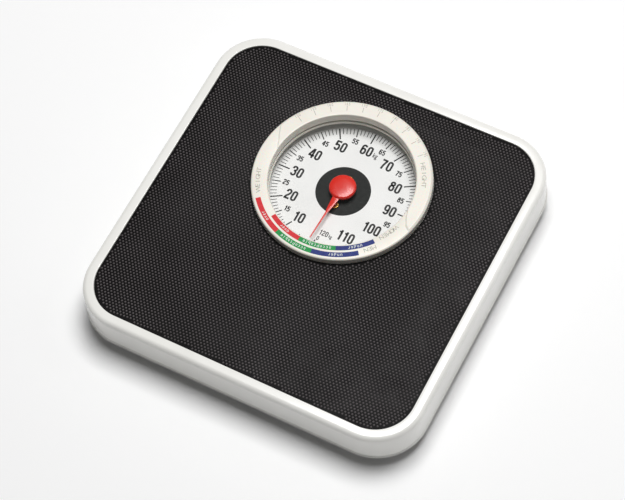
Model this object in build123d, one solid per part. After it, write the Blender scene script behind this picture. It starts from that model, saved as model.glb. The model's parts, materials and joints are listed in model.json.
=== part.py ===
"""Mechanical dial platform scale: lever system, rack-and-pinion dial and zero adjuster.

Millimetres. X is the user's right, Y runs to the dial edge, Z is up.
The origin is under the middle of the platform, at the bottom of the feet.
Heights are stacked from the feet up, and depths are counted from the rear edge.
"""
import os
from math import acos, asin, atan2, cos, degrees, hypot, pi, sin, sqrt, tan

from build123d import *

# Platform
platform_width = 270.0        # over the hem
platform_depth = 266.8        # over the hem
platform_corner = 37.7
sheet = 1.0
skirt_draft = 1.6             # degrees
hem_reach = 0.6               # how far the rolled hem stands out of the skirt
hem_height = 1.6
skirt_floor_gap = 12.0        # hem above the floor
rim_width = 10.0              # hem to mat edge
rim_round = 3.5
rim_above_mat = 0.2
mat_thickness = 1.3
mat_corner = 28.3
mat_gap = 0.4

# Dial, ring and window
ring_radius = 66.1
ring_width = 12.2
ring_margin = 15.7            # ring to the rear edge of the mat
ring_above_mat = 5.1
ring_thickness = 2.9
ring_round = 1.4
ring_raise = 0.6              # the height-scale half stands up by this
ring_land = 0.7               # flat step left round the raised half
ring_skirt = 2.0
ring_lens_gap = 0.25
collar_wall = 3.0
collar_lip = 0.6              # how far the window seat shows inside the ring
collar_lip_height = 1.9
lens_thickness = 1.6
lens_gap = 0.2
retainer_height = 1.0
retainer_width = 4.5
dial_depth = 12.9             # mat top to dial face
dial_thickness = 0.8
dial_overlap = 6.1            # how far the dial runs on outside the ring opening
dial_screw_front = 13.1       # front brass screw to the dial's centre
dial_screw_rear = 10.0        # rear one, under the pointer's cap
screw_head = 2.9
screw_shank = 1.45
screw_hole = 1.5

# Base and feet
base_inset = 14.0             # hem to base wall
base_rear_inset = 14.4
base_corner = 28.0
base_wall_top = 20.0
rib_width = 16.0
rib_rise = 1.2
foot_height = 3.0
foot_radius = 10.0
foot_stem = 3.0

# Levers
fulcrum_inset = 35.0          # hem to fulcrum, across
fulcrum_inset_y = 33.4        # hem to fulcrum, front and back
load_arm = 24.0
press_travel = 1.0            # platform travel at full load
lever_width = 8.0
lever_height = 7.0
lever_sheet = 1.2
lever_end = 5.0
knife_radius = 1.5
knife_height = 3.0            # pin centre above the lever's lower edge
tip_x = 16.0
tip_radius = 1.2
tip_overhang = 3.0
link_gap = 11.5               # from the crossing to the end of the short lever's channel
link_radius = 1.0
cheek_gap = 6.8               # lever centre to a bracket cheek
bracket_sheet = 1.2
contact_gap = 0.05

# Feet of the brackets and their rivets
rivet_shank = 1.5
rivet_step = 4.6              # fulcrum centre to each of its two rivets
deck_half_width = 19.0
deck_leg_inner = 11.0
deck_front_reach = 32.0       # dial centre to the front legs
deck_rear_reach = 31.0
deck_flange = 9.0
deck_rivet_x = 15.0
deck_rivet_out = 5.0
bridge_half_width = 25.8
bridge_flange_end = 35.0
bridge_rivet_x = 31.0
crank_cheek = 3.2             # crank centre to the outside of a cheek
crank_cheek_sheet = 1.0
crank_flange_end = 10.0
crank_rivet_x = 6.6
crank_foot_depth = 4.0

# Calibrating plate, crank, rack and pinion
floor_gap = 0.4
ear_height = 3.8
plate_depth = 8.4
plate_half_width = 22.0
plate_sheet = 1.2
ear_margin = 2.25             # ear bottom to crank pin
slot_gap = 0.15
crank_swing = 55.4            # degrees over the whole range
crank_ear_offset = 4.8        # crank pin at mid swing, in front of the lever tips
crank_pin = 1.0
crank_tip = 1.6
crank_sheet = 1.2
crank_pivot = 1.5
crank_hub = 3.0
crank_x = -6.2
gear_module = 0.4
pinion_teeth = 10
rack_addendum = 0.232
pinion_height = 2.8
rack_height = 1.6
rack_depth = 3.5
backlash = 0.06
shaft_radius = 1.0
bush_radius = 2.6
running_gap = 0.05
pointer_height = 5.4          # dial face to the underside of the needle
needle_length = 47.0
needle_thickness = 0.6
needle_rest = 3.0             # degrees past the zero mark, as the zero wheel left it
cap_radius = 10.0
cap_height = 3.4

# Spring, its arm and the zero adjuster
anchor_eye = 2.2
anchor_pin = 1.2
arm_sheet = 1.2
arm_half_width = 4.6
nut_height = 2.4
spring_coil = 3.8
spring_wire = 0.65
spring_pitch = 1.75
zero_drop = 2.8               # calibrating shelf to the zero screw
zero_wheel_radius = 8.0
zero_wheel_width = 6.0
zero_flutes = 24
zero_screw_radius = 1.5
keeper_coil = 3.2
keeper_wire = 0.65
keeper_pitch = 2.6

# Plan positions worked out from the sizes above
base_half_x = platform_width / 2 - base_inset
base_half_y = platform_depth / 2 - base_rear_inset
fulcrum_x = platform_width / 2 - fulcrum_inset
fulcrum_y = platform_depth / 2 - fulcrum_inset_y
load_y = fulcrum_y - load_arm
mat_half_x = platform_width / 2 - rim_width
mat_half_y = platform_depth / 2 - rim_width
dial_y = mat_half_y - ring_margin - ring_radius
leg_back_y = base_half_y - sheet - 1.4
spring_y = leg_back_y - arm_sheet - 4.9
plate_back_y = leg_back_y - arm_sheet - nut_height - 0.6
plate_front_y = plate_back_y - plate_depth
tip_y = plate_front_y + 2.0
anchor_y = spring_y - 5.5
lever_reach = tip_y + fulcrum_y

# Motion of the parts over the full platform travel
lever_swing = asin(press_travel / load_arm)
plate_drop = lever_reach * sin(lever_swing)
half_swing = crank_swing / 2 * pi / 180
pitch_radius = gear_module * pinion_teeth / 2
rack_travel = 2 * pi * pitch_radius
crank_in = plate_drop / (2 * sin(half_swing))
crank_out = rack_travel / (2 * sin(half_swing))
crank_y = tip_y - crank_ear_offset - crank_in
crank_middle = crank_x + crank_sheet / 2

# Heights, from the feet up
floor_z = foot_height + sheet
ear_z = floor_z + floor_gap + plate_drop
shelf_top = ear_z + ear_height
crank_pin_z = ear_z + ear_margin
crank_z = crank_pin_z - plate_drop / 2
lever_z = shelf_top + 0.3
knife_z = lever_z + knife_height
lever_top = lever_z + lever_height
rack_pin_z = crank_z + crank_out * cos(half_swing)
rack_z = rack_pin_z - 0.7
dial_z = crank_z + crank_out + crank_tip + 0.3
dial_top = dial_z + dial_thickness
mat_top = dial_top + dial_depth
recess_z = mat_top - mat_thickness
under_z = recess_z - sheet
rim_z = mat_top + rim_above_mat
ring_top = mat_top + ring_above_mat
ring_z = ring_top - ring_thickness
ring_inner = ring_radius - ring_width
ring_tube = ring_inner + ring_skirt
collar_bore = ring_tube + 0.6
collar_outer = collar_bore + 0.5 + collar_wall
lip_radius = ring_inner - collar_lip
ring_tube_z = recess_z - 0.5
lens_top = ring_tube_z - ring_lens_gap
lens_z = lens_top - lens_thickness
lip_top = lens_z - contact_gap
lip_z = lip_top - collar_lip_height
needle_z = dial_top + pointer_height
anchor_z = under_z - press_travel - retainer_height - 0.5 - anchor_eye
zero_z = shelf_top - zero_drop
deck_z = dial_z - bracket_sheet

SIDES = {"left": -1, "right": 1}
ENDS = {"front": -1, "rear": 1}


# Helpers

def block(x_range, y_range, z_range):
    """Box between three pairs of limits."""
    ranges = (x_range, y_range, z_range)
    centre = [(low + high) / 2 for low, high in ranges]
    spans = [abs(high - low) for low, high in ranges]
    return Pos(*centre) * Box(*spans)


def disc(radius, z_range, x=0.0, y=dial_y):
    """Upright cylinder between two heights."""
    low, high = z_range
    base = (Align.CENTER, Align.CENTER, Align.MIN)
    return Pos(x, y, low) * Cylinder(radius, high - low, align=base)


def tube(outer, inner, z_range, x=0.0, y=dial_y):
    """Upright ring between two heights."""
    return disc(outer, z_range, x, y) - disc(inner, z_range, x, y)


def rod_x(radius, x_range, y, z):
    """Cylinder along X."""
    low, high = x_range
    base = (Align.CENTER, Align.CENTER, Align.MIN)
    return Pos(low, y, z) * Rot(0, 90, 0) * Cylinder(radius, high - low, align=base)


def rod_y(radius, y_range, x, z):
    """Cylinder along Y."""
    low, high = y_range
    base = (Align.CENTER, Align.CENTER, Align.MIN)
    return Pos(x, low, z) * Rot(-90, 0, 0) * Cylinder(radius, high - low, align=base)


def slab(half_x, half_y, corner, z_range, draft=0.0):
    """Plate with round corners, narrowing upwards by the draft angle."""
    low, high = z_range
    outline = Pos(0, 0, low) * RectangleRounded(2 * half_x, 2 * half_y, corner)
    return extrude(outline, high - low, taper=draft)


def rivet(x, y, z_range):
    """Flat-headed rivet through the floor and one flange."""
    low, high = z_range
    shank = disc(rivet_shank, (low, high), x, y)
    return shank + disc(2.8, (low - 0.7, low), x, y) + disc(2.6, (high, high + 0.8), x, y)


def rivet_hole(x, y, z_range):
    """Clear hole for a rivet."""
    return disc(rivet_shank + running_gap, z_range, x, y)


def lever_x(side, y, end):
    """Centre line of a lever, across, at a depth counted from its own fulcrum's end."""
    slope = (fulcrum_x - tip_x) / lever_reach
    return side * (fulcrum_x - slope * (y * -end + fulcrum_y))


def tension_spring(x, y, z_range, coil, wire, pitch):
    """Close coil with a hook at each end, turned over in X; the range is inside the hooks."""
    low, high = z_range
    bend = wire + 0.75
    stem = 1.6 + 2 * wire
    coil_low = low + stem
    turns = round((high - low - 2 * stem) / pitch)
    coil_high = coil_low + turns * pitch
    path = Helix(pitch, coil_high - coil_low, coil)
    section = Plane(origin=path @ 0, z_dir=path % 0) * Circle(wire)
    spring = Pos(x, y, coil_low) * sweep(section, path=path)
    for root, tip, turn in ((coil_low, low, -1), (coil_high, high, 1)):
        spring += Pos(x + coil, y, root) * Sphere(wire * 1.02)
        arm = Pos(x, y, root) * Rot(0, 90, 0)
        spring += arm * Cylinder(wire, coil, align=(Align.CENTER, Align.CENTER, Align.MIN))
        spring += Pos(x, y, root) * Sphere(wire * 1.02)
        spring += disc(wire, (min(root, tip), max(root, tip)), x, y)
        hook = Pos(x + bend, y, tip) * Rot(90, 0, 0) * Torus(bend, wire)
        keep = block((x - 1, x + 3 * bend), (y - 2, y + 2), sorted((tip, tip + turn * 3 * bend)))
        spring += hook & keep
    return spring


# Platform

def keeper_places():
    """Plan positions of the four springs that keep the platform on the base."""
    return [(side * (fulcrum_x + 5), end * 40.0) for side in (-1, 1) for end in (-1, 1)]


def keeper_tab(x, y, plate_z, root_z):
    """Lanced tab: an upright strip and a small shelf with the hook hole."""
    side = 1 if x > 0 else -1
    upright = block(sorted((x + side * 4, x + side * 5)), (y - 3, y + 3), sorted((plate_z, root_z)))
    shelf = block(sorted((x - side * 3, x + side * 5)), (y - 3, y + 3), (plate_z - 0.5, plate_z + 0.5))
    return upright + shelf - disc(keeper_wire + 0.25, (plate_z - 1, plate_z + 1), x, y)


def platform_cover():
    """Pressed cover: drafted skirt with a rolled hem, round rim, mat recess and dial hole."""
    hem_z = skirt_floor_gap
    half_x = platform_width / 2 - hem_reach
    half_y = platform_depth / 2 - hem_reach
    outer = slab(half_x, half_y, platform_corner, (hem_z, rim_z), skirt_draft)
    outer = fillet(outer.edges().group_by(Axis.Z)[-1], rim_round)
    inner_top = rim_z - sheet
    inner = slab(half_x - sheet, half_y - sheet, platform_corner - sheet, (hem_z, inner_top), skirt_draft)
    inner = fillet(inner.edges().group_by(Axis.Z)[-1], rim_round - sheet)
    recess_x = mat_half_x + mat_gap
    recess_y = mat_half_y + mat_gap
    recess_corner = mat_corner + mat_gap
    recess = slab(recess_x, recess_y, recess_corner, (recess_z, rim_z + 1))
    tray = slab(recess_x + sheet, recess_y + sheet, recess_corner + sheet, (under_z, inner_top))
    cover = outer - recess - (inner - tray)
    hem = slab(half_x + hem_reach, half_y + hem_reach, platform_corner + hem_reach, (hem_z, hem_z + hem_height))
    hem = fillet(hem.edges().filter_by(GeomType.PLANE, reverse=True).group_by(Axis.Z)[-1], hem_reach * 0.9)
    hem -= slab(half_x - sheet, half_y - sheet, platform_corner - sheet, (hem_z - 1, hem_z + hem_height + 1))
    cover += hem
    cover -= disc(collar_outer + 0.5, (under_z - 1, rim_z + 1))
    for x, y in keeper_places():
        cover += keeper_tab(x, y, under_z - 6.0, under_z)
    return cover


def non_slip_mat():
    """Black vinyl mat in the recess, cut round the ring."""
    mat = slab(mat_half_x, mat_half_y, mat_corner, (recess_z, mat_top))
    return mat - disc(ring_radius + mat_gap, (recess_z - 1, mat_top + 1))


def bezel_collar():
    """Fixed collar: flange on the cover, tube through its hole and a seat for the window."""
    flange = disc(ring_radius, (recess_z, ring_z - 0.2))
    body = flange + disc(collar_outer, (lip_z, recess_z))
    body -= disc(collar_bore, (lens_top + 0.1, ring_z))
    body -= disc(collar_bore, (lip_top, lens_top + 0.1))
    body -= disc(lip_radius, (lip_z - 1, lip_top + 1))
    groove = tube(collar_bore + 0.6, collar_bore - 1, (recess_z + 0.6, recess_z + 1.8))
    return body - groove


def bezel_retainer():
    """Clamp ring under the cover, pushed on the collar."""
    high = under_z
    return tube(collar_outer + retainer_width, collar_outer, (high - retainer_height, high))


def dial_lens():
    """Clear window on the collar's seat."""
    return disc(collar_bore - lens_gap, (lens_z, lens_top))


def ring_seams():
    """The two S-shaped ends of the raised half: (share of the width, degrees)."""
    left = [(1.0, 161.0), (0.62, 166.5), (0.3, 171.4), (0.0, 178.5)]
    right = [(0.0, -1.7), (0.22, -9.0), (0.55, -14.4), (1.0, -16.6)]
    return left, right


def ring_point(share, angle):
    """Point on the ring's face; the share runs from the opening to the land."""
    radius = ring_inner + share * (ring_width - ring_land)
    return (radius * cos(angle * pi / 180), dial_y + radius * sin(angle * pi / 180))


def raised_half():
    """Raised height-scale half of the ring, between the two seams."""
    left, right = ring_seams()
    outer = [ring_point(1.0, angle) for angle in (right[-1][1], 72.0, left[0][1])]
    inner = [ring_point(0.0, angle) for angle in (left[-1][1], 88.0, right[0][1])]
    edges = [
        ThreePointArc(*outer),
        Spline(*[ring_point(*place) for place in left]),
        ThreePointArc(*inner),
        Spline(*[ring_point(*place) for place in right]),
    ]
    face = make_face(edges)
    return extrude(Pos(0, 0, ring_top - 0.5) * face, ring_raise + 0.5)


def bmi_ring():
    """Turning body-mass ring with a snap bead that runs in the collar's groove."""
    ring = disc(ring_radius, (ring_z, ring_top))
    ring = fillet(ring.edges().group_by(Axis.Z)[-1], ring_round)
    ring += raised_half()
    ring += disc(ring_tube, (ring_tube_z, ring_z))
    ring += tube(collar_bore + 0.3, ring_tube - 0.5, (recess_z + 0.9, recess_z + 1.5))
    return ring - disc(ring_inner, (ring_tube_z - 1, ring_top + 2))


def load_bearer(side, end):
    """Stirrup under the cover; its two notched cheeks sit on a lever's load pin."""
    x = lever_x(side, end * load_y, end)
    y = end * load_y
    low = knife_z - 1.2
    bearer = block((x - cheek_gap - 1.2, x + cheek_gap + 1.2), (y - 7, y + 7), (under_z - 1.2, under_z))
    for face in (-cheek_gap - bracket_sheet, cheek_gap):
        bearer += block((x + face, x + face + bracket_sheet), (y - 4, y + 4), (low, under_z - 1.2))
    apex = knife_z + (knife_radius + contact_gap) * sqrt(2)
    notch = Rot(45, 0, 0) * Box(40, 20, 20)
    return bearer - Pos(x, y, apex - 10 * sqrt(2)) * notch


# Base

def foot_places():
    """Plan positions of the feet."""
    return {(a, b): (SIDES[b] * (fulcrum_x - 2), ENDS[a] * (fulcrum_y - 18)) for a in ENDS for b in SIDES}


def bracket_feet():
    """Plan positions of the rivets that hold the brackets to the base."""
    places = []
    for side in (-1, 1):
        for end in (-1, 1):
            places += [(side * fulcrum_x, end * fulcrum_y + step) for step in (-rivet_step, rivet_step)]
        places.append((side * deck_rivet_x, deck_front() - deck_rivet_out))
        places.append((side * deck_rivet_x, deck_back() + deck_rivet_out))
        places.append((crank_middle + side * crank_rivet_x, crank_y))
        places.append((side * bridge_rivet_x, anchor_y + 0.5))
    return places


def deck_front():
    """Front edge of the mechanism bracket."""
    return dial_y - deck_front_reach


def deck_back():
    """Rear edge of the mechanism bracket."""
    return dial_y + deck_rear_reach


def base_tray():
    """Pressed tray with two stiffening ribs, foot holes, rivet holes and keeper tabs."""
    low = foot_height
    tray = slab(base_half_x, base_half_y, base_corner, (low, base_wall_top))
    tray = fillet(tray.edges().group_by(Axis.Z)[0], 2.0)
    cavity = slab(base_half_x - sheet, base_half_y - sheet, base_corner - sheet, (floor_z, base_wall_top + 1))
    tray -= fillet(cavity.edges().group_by(Axis.Z)[0], 1.0)
    rib_length = 2 * (load_y - 14)
    for side in (-1, 1):
        rib = RectangleRounded(rib_width, rib_length, rib_width / 2 - 0.1)
        inner = RectangleRounded(rib_width - 2 * sheet, rib_length - 2 * sheet, rib_width / 2 - 0.1 - sheet)
        x = side * (fulcrum_x + 5 - 22)
        tray += extrude(Pos(x, 0, low) * rib, sheet + rib_rise)
        tray -= extrude(Pos(x, 0, low - 1) * inner, 1 + rib_rise)
    for x, y in foot_places().values():
        tray -= disc(foot_stem, (low - 1, floor_z + 1), x, y)
    for x, y in bracket_feet():
        tray -= rivet_hole(x, y, (low - 1, floor_z + 1))
    tray -= rod_y(3.0, (base_half_y - 5, base_half_y + 5), 0, zero_z)
    for x, y in keeper_places():
        tray += keeper_tab(x, y, floor_z + 6.0, floor_z)
    return tray


def foot(end, side):
    """Rubber foot with a stem and a retaining head above the floor."""
    x, y = foot_places()[(end, side)]
    pad = disc(foot_radius, (0, foot_height), x, y)
    pad = chamfer(pad.edges().group_by(Axis.Z)[0], 0.6)
    pad += disc(foot_stem, (foot_height, floor_z), x, y)
    return pad + disc(foot_stem + 1.2, (floor_z, floor_z + 1.5), x, y)


def fulcrum_bracket(side, end):
    """Stirrup on the base with V notches under a lever's fulcrum pin."""
    x = side * fulcrum_x
    y = end * fulcrum_y
    top = knife_z + 1.2
    bracket = block((x - cheek_gap - 1.2, x + cheek_gap + 1.2), (y - 8, y + 8), (floor_z, floor_z + 1.2))
    for face in (-cheek_gap - bracket_sheet, cheek_gap):
        bracket += block((x + face, x + face + bracket_sheet), (y - 4, y + 4), (floor_z + 1.2, top))
    apex = knife_z - (knife_radius + contact_gap) * sqrt(2)
    notch = Rot(45, 0, 0) * Box(40, 20, 20)
    bracket -= Pos(x, y, apex + 10 * sqrt(2)) * notch
    for step in (-rivet_step, rivet_step):
        bracket -= rivet_hole(x, y + step, (floor_z - 1, floor_z + 2))
    return bracket


def base_rivets():
    """All rivets that hold brackets to the base."""
    return Compound(children=[rivet(x, y, (foot_height, floor_z + 1.2)) for x, y in bracket_feet()])


def screw_depths():
    """Depths of the dial's two screws."""
    return dial_y - dial_screw_front, dial_y + dial_screw_rear


def mechanism_bracket():
    """Four-legged deck that carries the dial and the pinion's upper bush."""
    front, back = deck_front(), deck_back()
    sheet_top = floor_z + bracket_sheet
    deck = block((-deck_half_width, deck_half_width), (front, back), (deck_z, dial_z))
    for side in (-1, 1):
        across = sorted((side * deck_leg_inner, side * deck_half_width))
        for edge, out in ((front, -1), (back, 1)):
            deck += block(across, sorted((edge, edge - out * bracket_sheet)), (floor_z, deck_z))
            deck += block(across, sorted((edge, edge + out * deck_flange)), (floor_z, sheet_top))
            deck -= rivet_hole(side * deck_rivet_x, edge + out * deck_rivet_out, (floor_z - 1, sheet_top + 1))
    deck -= disc(bush_radius, (deck_z - 1, dial_z + 1))
    for y in screw_depths():
        deck -= disc(screw_hole, (deck_z - 1, dial_z + 1), 0, y)
    return deck


def lower_bearing_strap():
    """Hanging strap with the pinion's lower bearing."""
    low = rack_z - 4.0
    strap = block((-12, 12), (dial_y - 4, dial_y + 4), (low, low + 1.2))
    for side in (-1, 1):
        strap += block(sorted((side * 10.8, side * 12)), (dial_y - 4, dial_y + 4), (low + 1.2, deck_z))
    return strap - disc(shaft_radius + running_gap, (low - 1, low + 2))


def pinion_bush():
    """Flanged brass bush through the deck and the dial."""
    bush = disc(3.8, (deck_z - 0.4, deck_z)) + disc(bush_radius, (deck_z, dial_top + 1.0))
    return bush - disc(shaft_radius + running_gap, (deck_z - 1, dial_top + 2))


def rack_guide():
    """Angle behind and below the rack, opposite the pinion."""
    back = -pitch_radius - 0.5 - rack_depth - 0.1
    guide = block((back - 1.2, back), (dial_y - 7, dial_y + 7), (rack_z - 1.3, deck_z))
    return guide + block((back, back + 2.8), (dial_y - 7, dial_y + 7), (rack_z - 1.3, rack_z - 0.1))


def dial_plate():
    """Printed dial disc."""
    through = (dial_z - 1, dial_top + 1)
    plate = disc(ring_inner + dial_overlap, (dial_z, dial_top)) - disc(bush_radius, through)
    for y in screw_depths():
        plate -= disc(screw_hole, through, 0, y)
    return plate


def dial_screws():
    """Two slotted brass screws."""
    screws = []
    for y in screw_depths():
        head = disc(screw_head, (dial_top, dial_top + 1.5), 0, y)
        head = fillet(head.edges().group_by(Axis.Z)[-1], 0.5)
        screw = head + disc(screw_shank, (deck_z - 0.5, dial_top), 0, y)
        screws.append(screw - Pos(0, y, dial_top + 1.5) * Box(7, 0.8, 1.2))
    return Compound(children=screws)


def crank_bracket():
    """Two cheeks on the floor that hold the crank pin."""
    sheet_top = floor_z + bracket_sheet
    y_range = (crank_y - crank_foot_depth, crank_y + crank_foot_depth)
    ends = (crank_middle - crank_flange_end, crank_middle + crank_flange_end)
    bracket = block(ends, y_range, (floor_z, sheet_top))
    for face in (-crank_cheek, crank_cheek - crank_cheek_sheet):
        across = (crank_middle + face, crank_middle + face + crank_cheek_sheet)
        bracket += block(across, y_range, (sheet_top, crank_z + crank_cheek))
    for step in (-crank_rivet_x, crank_rivet_x):
        bracket -= rivet_hole(crank_middle + step, crank_y, (floor_z - 1, sheet_top + 1))
    return bracket - rod_x(crank_pivot, ends, crank_y, crank_z)


def crank_pivot_pin():
    """Headed pin of the crank."""
    start = crank_middle - crank_cheek
    pin = rod_x(crank_pivot, (start, crank_middle + crank_cheek + 0.6), crank_y, crank_z)
    return pin + rod_x(crank_pivot + 0.8, (start - 0.8, start), crank_y, crank_z)


def spring_bridge():
    """Portal behind the dial with two ears for the spring arm's pin."""
    front = anchor_y - 2.2
    bar_top = anchor_z - anchor_eye - 0.4
    sheet_top = floor_z + bracket_sheet
    half = bridge_half_width
    bridge = block((-half, half), (front, front + 2.6), (bar_top - bracket_sheet, bar_top))
    for side in (-1, 1):
        leg = sorted((side * (half - bracket_sheet), side * half))
        flange = sorted((side * half, side * bridge_flange_end))
        ear = sorted((side * 6.0, side * 7.2))
        bridge += block(leg, (front, front + 5.4), (floor_z, bar_top))
        bridge += block(flange, (front, front + 5.4), (floor_z, sheet_top))
        bridge += block(ear, (front, anchor_y + 2.0), (bar_top, anchor_z + 2.0))
        bridge -= rivet_hole(side * bridge_rivet_x, anchor_y + 0.5, (floor_z - 1, sheet_top + 1))
    return bridge - rod_x(anchor_pin, (-9, 9), anchor_y, anchor_z)


def spring_anchor_arm():
    """Bell-crank arm: eye on the bridge, shelf for the spring, leg down to the zero screw."""
    eye = rod_x(anchor_eye, (-5.8, 5.8), anchor_y, anchor_z)
    shelf = block((-arm_half_width, arm_half_width), (anchor_y, leg_back_y), (anchor_z - 0.6, anchor_z + 0.6))
    leg_y = (leg_back_y - arm_sheet, leg_back_y)
    leg = block((-arm_half_width, arm_half_width), leg_y, (zero_z - 4, anchor_z - 0.6))
    arm = eye + shelf + leg
    arm -= rod_x(anchor_pin + running_gap, (-9, 9), anchor_y, anchor_z)
    arm -= disc(spring_wire + 0.35, (anchor_z - 3, anchor_z + 3), 0, spring_y)
    return arm - rod_y(zero_screw_radius + 0.3, (leg_y[0] - 2, leg_y[1] + 2), 0, zero_z)


def anchor_pivot_pin():
    """Headed pin through the bridge's ears."""
    pin = rod_x(anchor_pin, (-7.8, 7.2), anchor_y, anchor_z)
    return pin + rod_x(anchor_pin + 0.7, (7.2, 8.0), anchor_y, anchor_z)


def zero_nut():
    """Nut held in front of the arm's leg."""
    front = leg_back_y - arm_sheet - nut_height
    nut = block((-3, 3), (front, leg_back_y - arm_sheet), (zero_z - 3, zero_z + 3))
    return nut - rod_y(zero_screw_radius + running_gap, (front - 1, front + 5), 0, zero_z)


def main_spring():
    """Tension spring between the arm and the calibrating plate."""
    z_range = (shelf_top - plate_sheet - 0.1, anchor_z + 0.7)
    return tension_spring(0, spring_y, z_range, spring_coil, spring_wire, spring_pitch)


def keeper_spring(number):
    """Light spring that holds the platform down on its levers."""
    x, y = keeper_places()[number]
    z_range = (floor_z + 5.4, under_z - 5.4)
    return tension_spring(x, y, z_range, keeper_coil, keeper_wire, keeper_pitch)


def zero_bush():
    """Brass bush of the zero screw in the rear wall."""
    wall = base_half_y - sheet
    bush = rod_y(3.0, (wall, base_half_y), 0, zero_z)
    bush += rod_y(4.2, (base_half_y, base_half_y + 0.8), 0, zero_z)
    return bush - rod_y(zero_screw_radius + running_gap, (wall - 1, base_half_y + 2), 0, zero_z)


# Zero adjuster

def zero_screw():
    """Screw from the wheel through the bush, the leg and the nut."""
    front = leg_back_y - arm_sheet - nut_height - 0.2
    return rod_y(zero_screw_radius, (front, base_half_y + 1.0), 0, zero_z)


def zero_wheel():
    """Fluted thumb wheel behind the base wall, reached from below."""
    low = base_half_y + 1.0
    wheel = rod_y(zero_wheel_radius, (low, low + zero_wheel_width), 0, zero_z)
    for index in range(zero_flutes):
        angle = 2 * pi * index / zero_flutes
        x = (zero_wheel_radius + 0.35) * cos(angle)
        z = zero_z + (zero_wheel_radius + 0.35) * sin(angle)
        wheel -= rod_y(0.75, (low - 1, low + zero_wheel_width + 1), x, z)
    return wheel


# Levers

def lever(side, end, far_y):
    """U-shaped channel, open below, from past its fulcrum to a depth counted from the middle."""
    start = (side * fulcrum_x, end * fulcrum_y)
    finish = (lever_x(side, far_y, end), far_y)
    angle = atan2(finish[1] - start[1], finish[0] - start[0])
    length = hypot(finish[0] - start[0], finish[1] - start[1]) + lever_end
    low = (Align.MIN, Align.CENTER, Align.MIN)
    channel = Box(length, lever_width, lever_height, align=low)
    channel -= Box(length, lever_width - 2 * lever_sheet, lever_height - lever_sheet, align=low)
    channel = Pos(*start, lever_z) * Rot(0, 0, degrees(angle)) * Pos(-lever_end, 0, 0) * channel
    for y in (end * fulcrum_y, end * load_y):
        x = lever_x(side, y, end)
        channel -= rod_x(knife_radius, (x - 9, x + 9), y, knife_z)
    return channel


def long_lever(side):
    """Front lever of one side, running back to the calibrating plate."""
    beam = lever(side, -1, tip_y + tip_overhang)
    x = side * tip_x
    return beam - rod_x(tip_radius, (x - 9, x + 9), tip_y, shelf_top + contact_gap + tip_radius)


def short_lever(side):
    """Rear lever of one side; its raised tongue lies over the long lever."""
    beam = lever(side, 1, link_gap)
    x = lever_x(side, 0, 1)
    tongue_z = lever_top + 1.0
    angle = degrees(atan2(fulcrum_y, side * (fulcrum_x - abs(x))))
    tongue = block((-3, link_gap + 2), (-3, 3), (tongue_z, tongue_z + 1.2))
    riser = block((link_gap + 1.0, link_gap + 2), (-3, 3), (lever_top - 1.0, tongue_z + 1.2))
    beam += Pos(x, 0, 0) * Rot(0, 0, angle) * (tongue + riser)
    return beam - rod_x(link_radius, (x - 9, x + 9), 0, lever_top + contact_gap + link_radius)


def knife(side, y, end):
    """Hardened pin through a lever."""
    x = lever_x(side, y, end)
    return rod_x(knife_radius, (x - 8.6, x + 8.6), y, knife_z)


def long_lever_knives():
    """Fulcrum, load and tip pins of the long levers."""
    pins = [knife(side, y, -1) for side in (-1, 1) for y in (-fulcrum_y, -load_y)]
    tip_z = shelf_top + contact_gap + tip_radius
    pins += [rod_x(tip_radius, (x - 5.2, x + 5.2), tip_y, tip_z) for x in (-tip_x, tip_x)]
    return Compound(children=pins)


def short_lever_knives():
    """Fulcrum, load and link pins of the short levers."""
    pins = [knife(side, y, 1) for side in (-1, 1) for y in (fulcrum_y, load_y)]
    link_z = lever_top + contact_gap + link_radius
    for side in (-1, 1):
        x = lever_x(side, 0, 1)
        pins.append(rod_x(link_radius, (x - 3.0, x + 3.0), 0, link_z))
    return Compound(children=pins)


# Calibrating plate, crank, rack and pinion

def calibrating_plate():
    """Shelf that the long levers press down, with the spring's hole and the crank's ear."""
    low = shelf_top - plate_sheet
    half = plate_half_width
    plate = block((-half, half), (plate_front_y, plate_back_y), (low, shelf_top))
    plate -= disc(spring_wire + 0.35, (low - 1, shelf_top + 1), 0, spring_y)
    pin_low = crank_y + crank_in * cos(half_swing)
    pin_high = crank_y + crank_in
    ear_x = (crank_x + 1.8, crank_x + 3.0)
    plate += block(ear_x, (pin_low - 2.6, plate_front_y + 1), (ear_z, shelf_top))
    half_slot = crank_pin + slot_gap
    slot = block(ear_x, (pin_low, pin_high), (crank_pin_z - half_slot, crank_pin_z + half_slot))
    for y in (pin_low, pin_high):
        slot += rod_x(half_slot, ear_x, y, crank_pin_z)
    return plate - slot


def crank_points():
    """Input and output pin centres at rest, in depth and height."""
    start = half_swing
    take = (crank_y + crank_in * cos(start), crank_z + crank_in * sin(start))
    give = (crank_y - crank_out * sin(start), crank_z + crank_out * cos(start))
    return take, give


def crank_arm(point):
    """Flat arm from the crank's pivot to one pin, round at the pin."""
    y, z = point
    length = hypot(y - crank_y, z - crank_z)
    angle = degrees(atan2(z - crank_z, y - crank_y))
    x_range = (crank_x, crank_x + crank_sheet)
    bar = block(x_range, (0, length), (-crank_tip, crank_tip))
    bar += rod_x(crank_tip, x_range, length, 0)
    return Pos(0, crank_y, crank_z) * Rot(angle, 0, 0) * bar


def crank():
    """Bell crank that turns the plate's drop into the rack's slide."""
    body = rod_x(crank_hub, (crank_middle - 2.1, crank_middle + 2.1), crank_y, crank_z)
    for point in crank_points():
        body += crank_arm(point)
    return body - rod_x(crank_pivot + running_gap, (crank_middle - 5, crank_middle + 5), crank_y, crank_z)


def crank_pins():
    """Two drive pins, one in the plate's slot and one in the rack's fork."""
    x_range = (crank_x + crank_sheet, crank_x + 3.6)
    return Compound(children=[rod_x(crank_pin, x_range, *point) for point in crank_points()])


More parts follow.
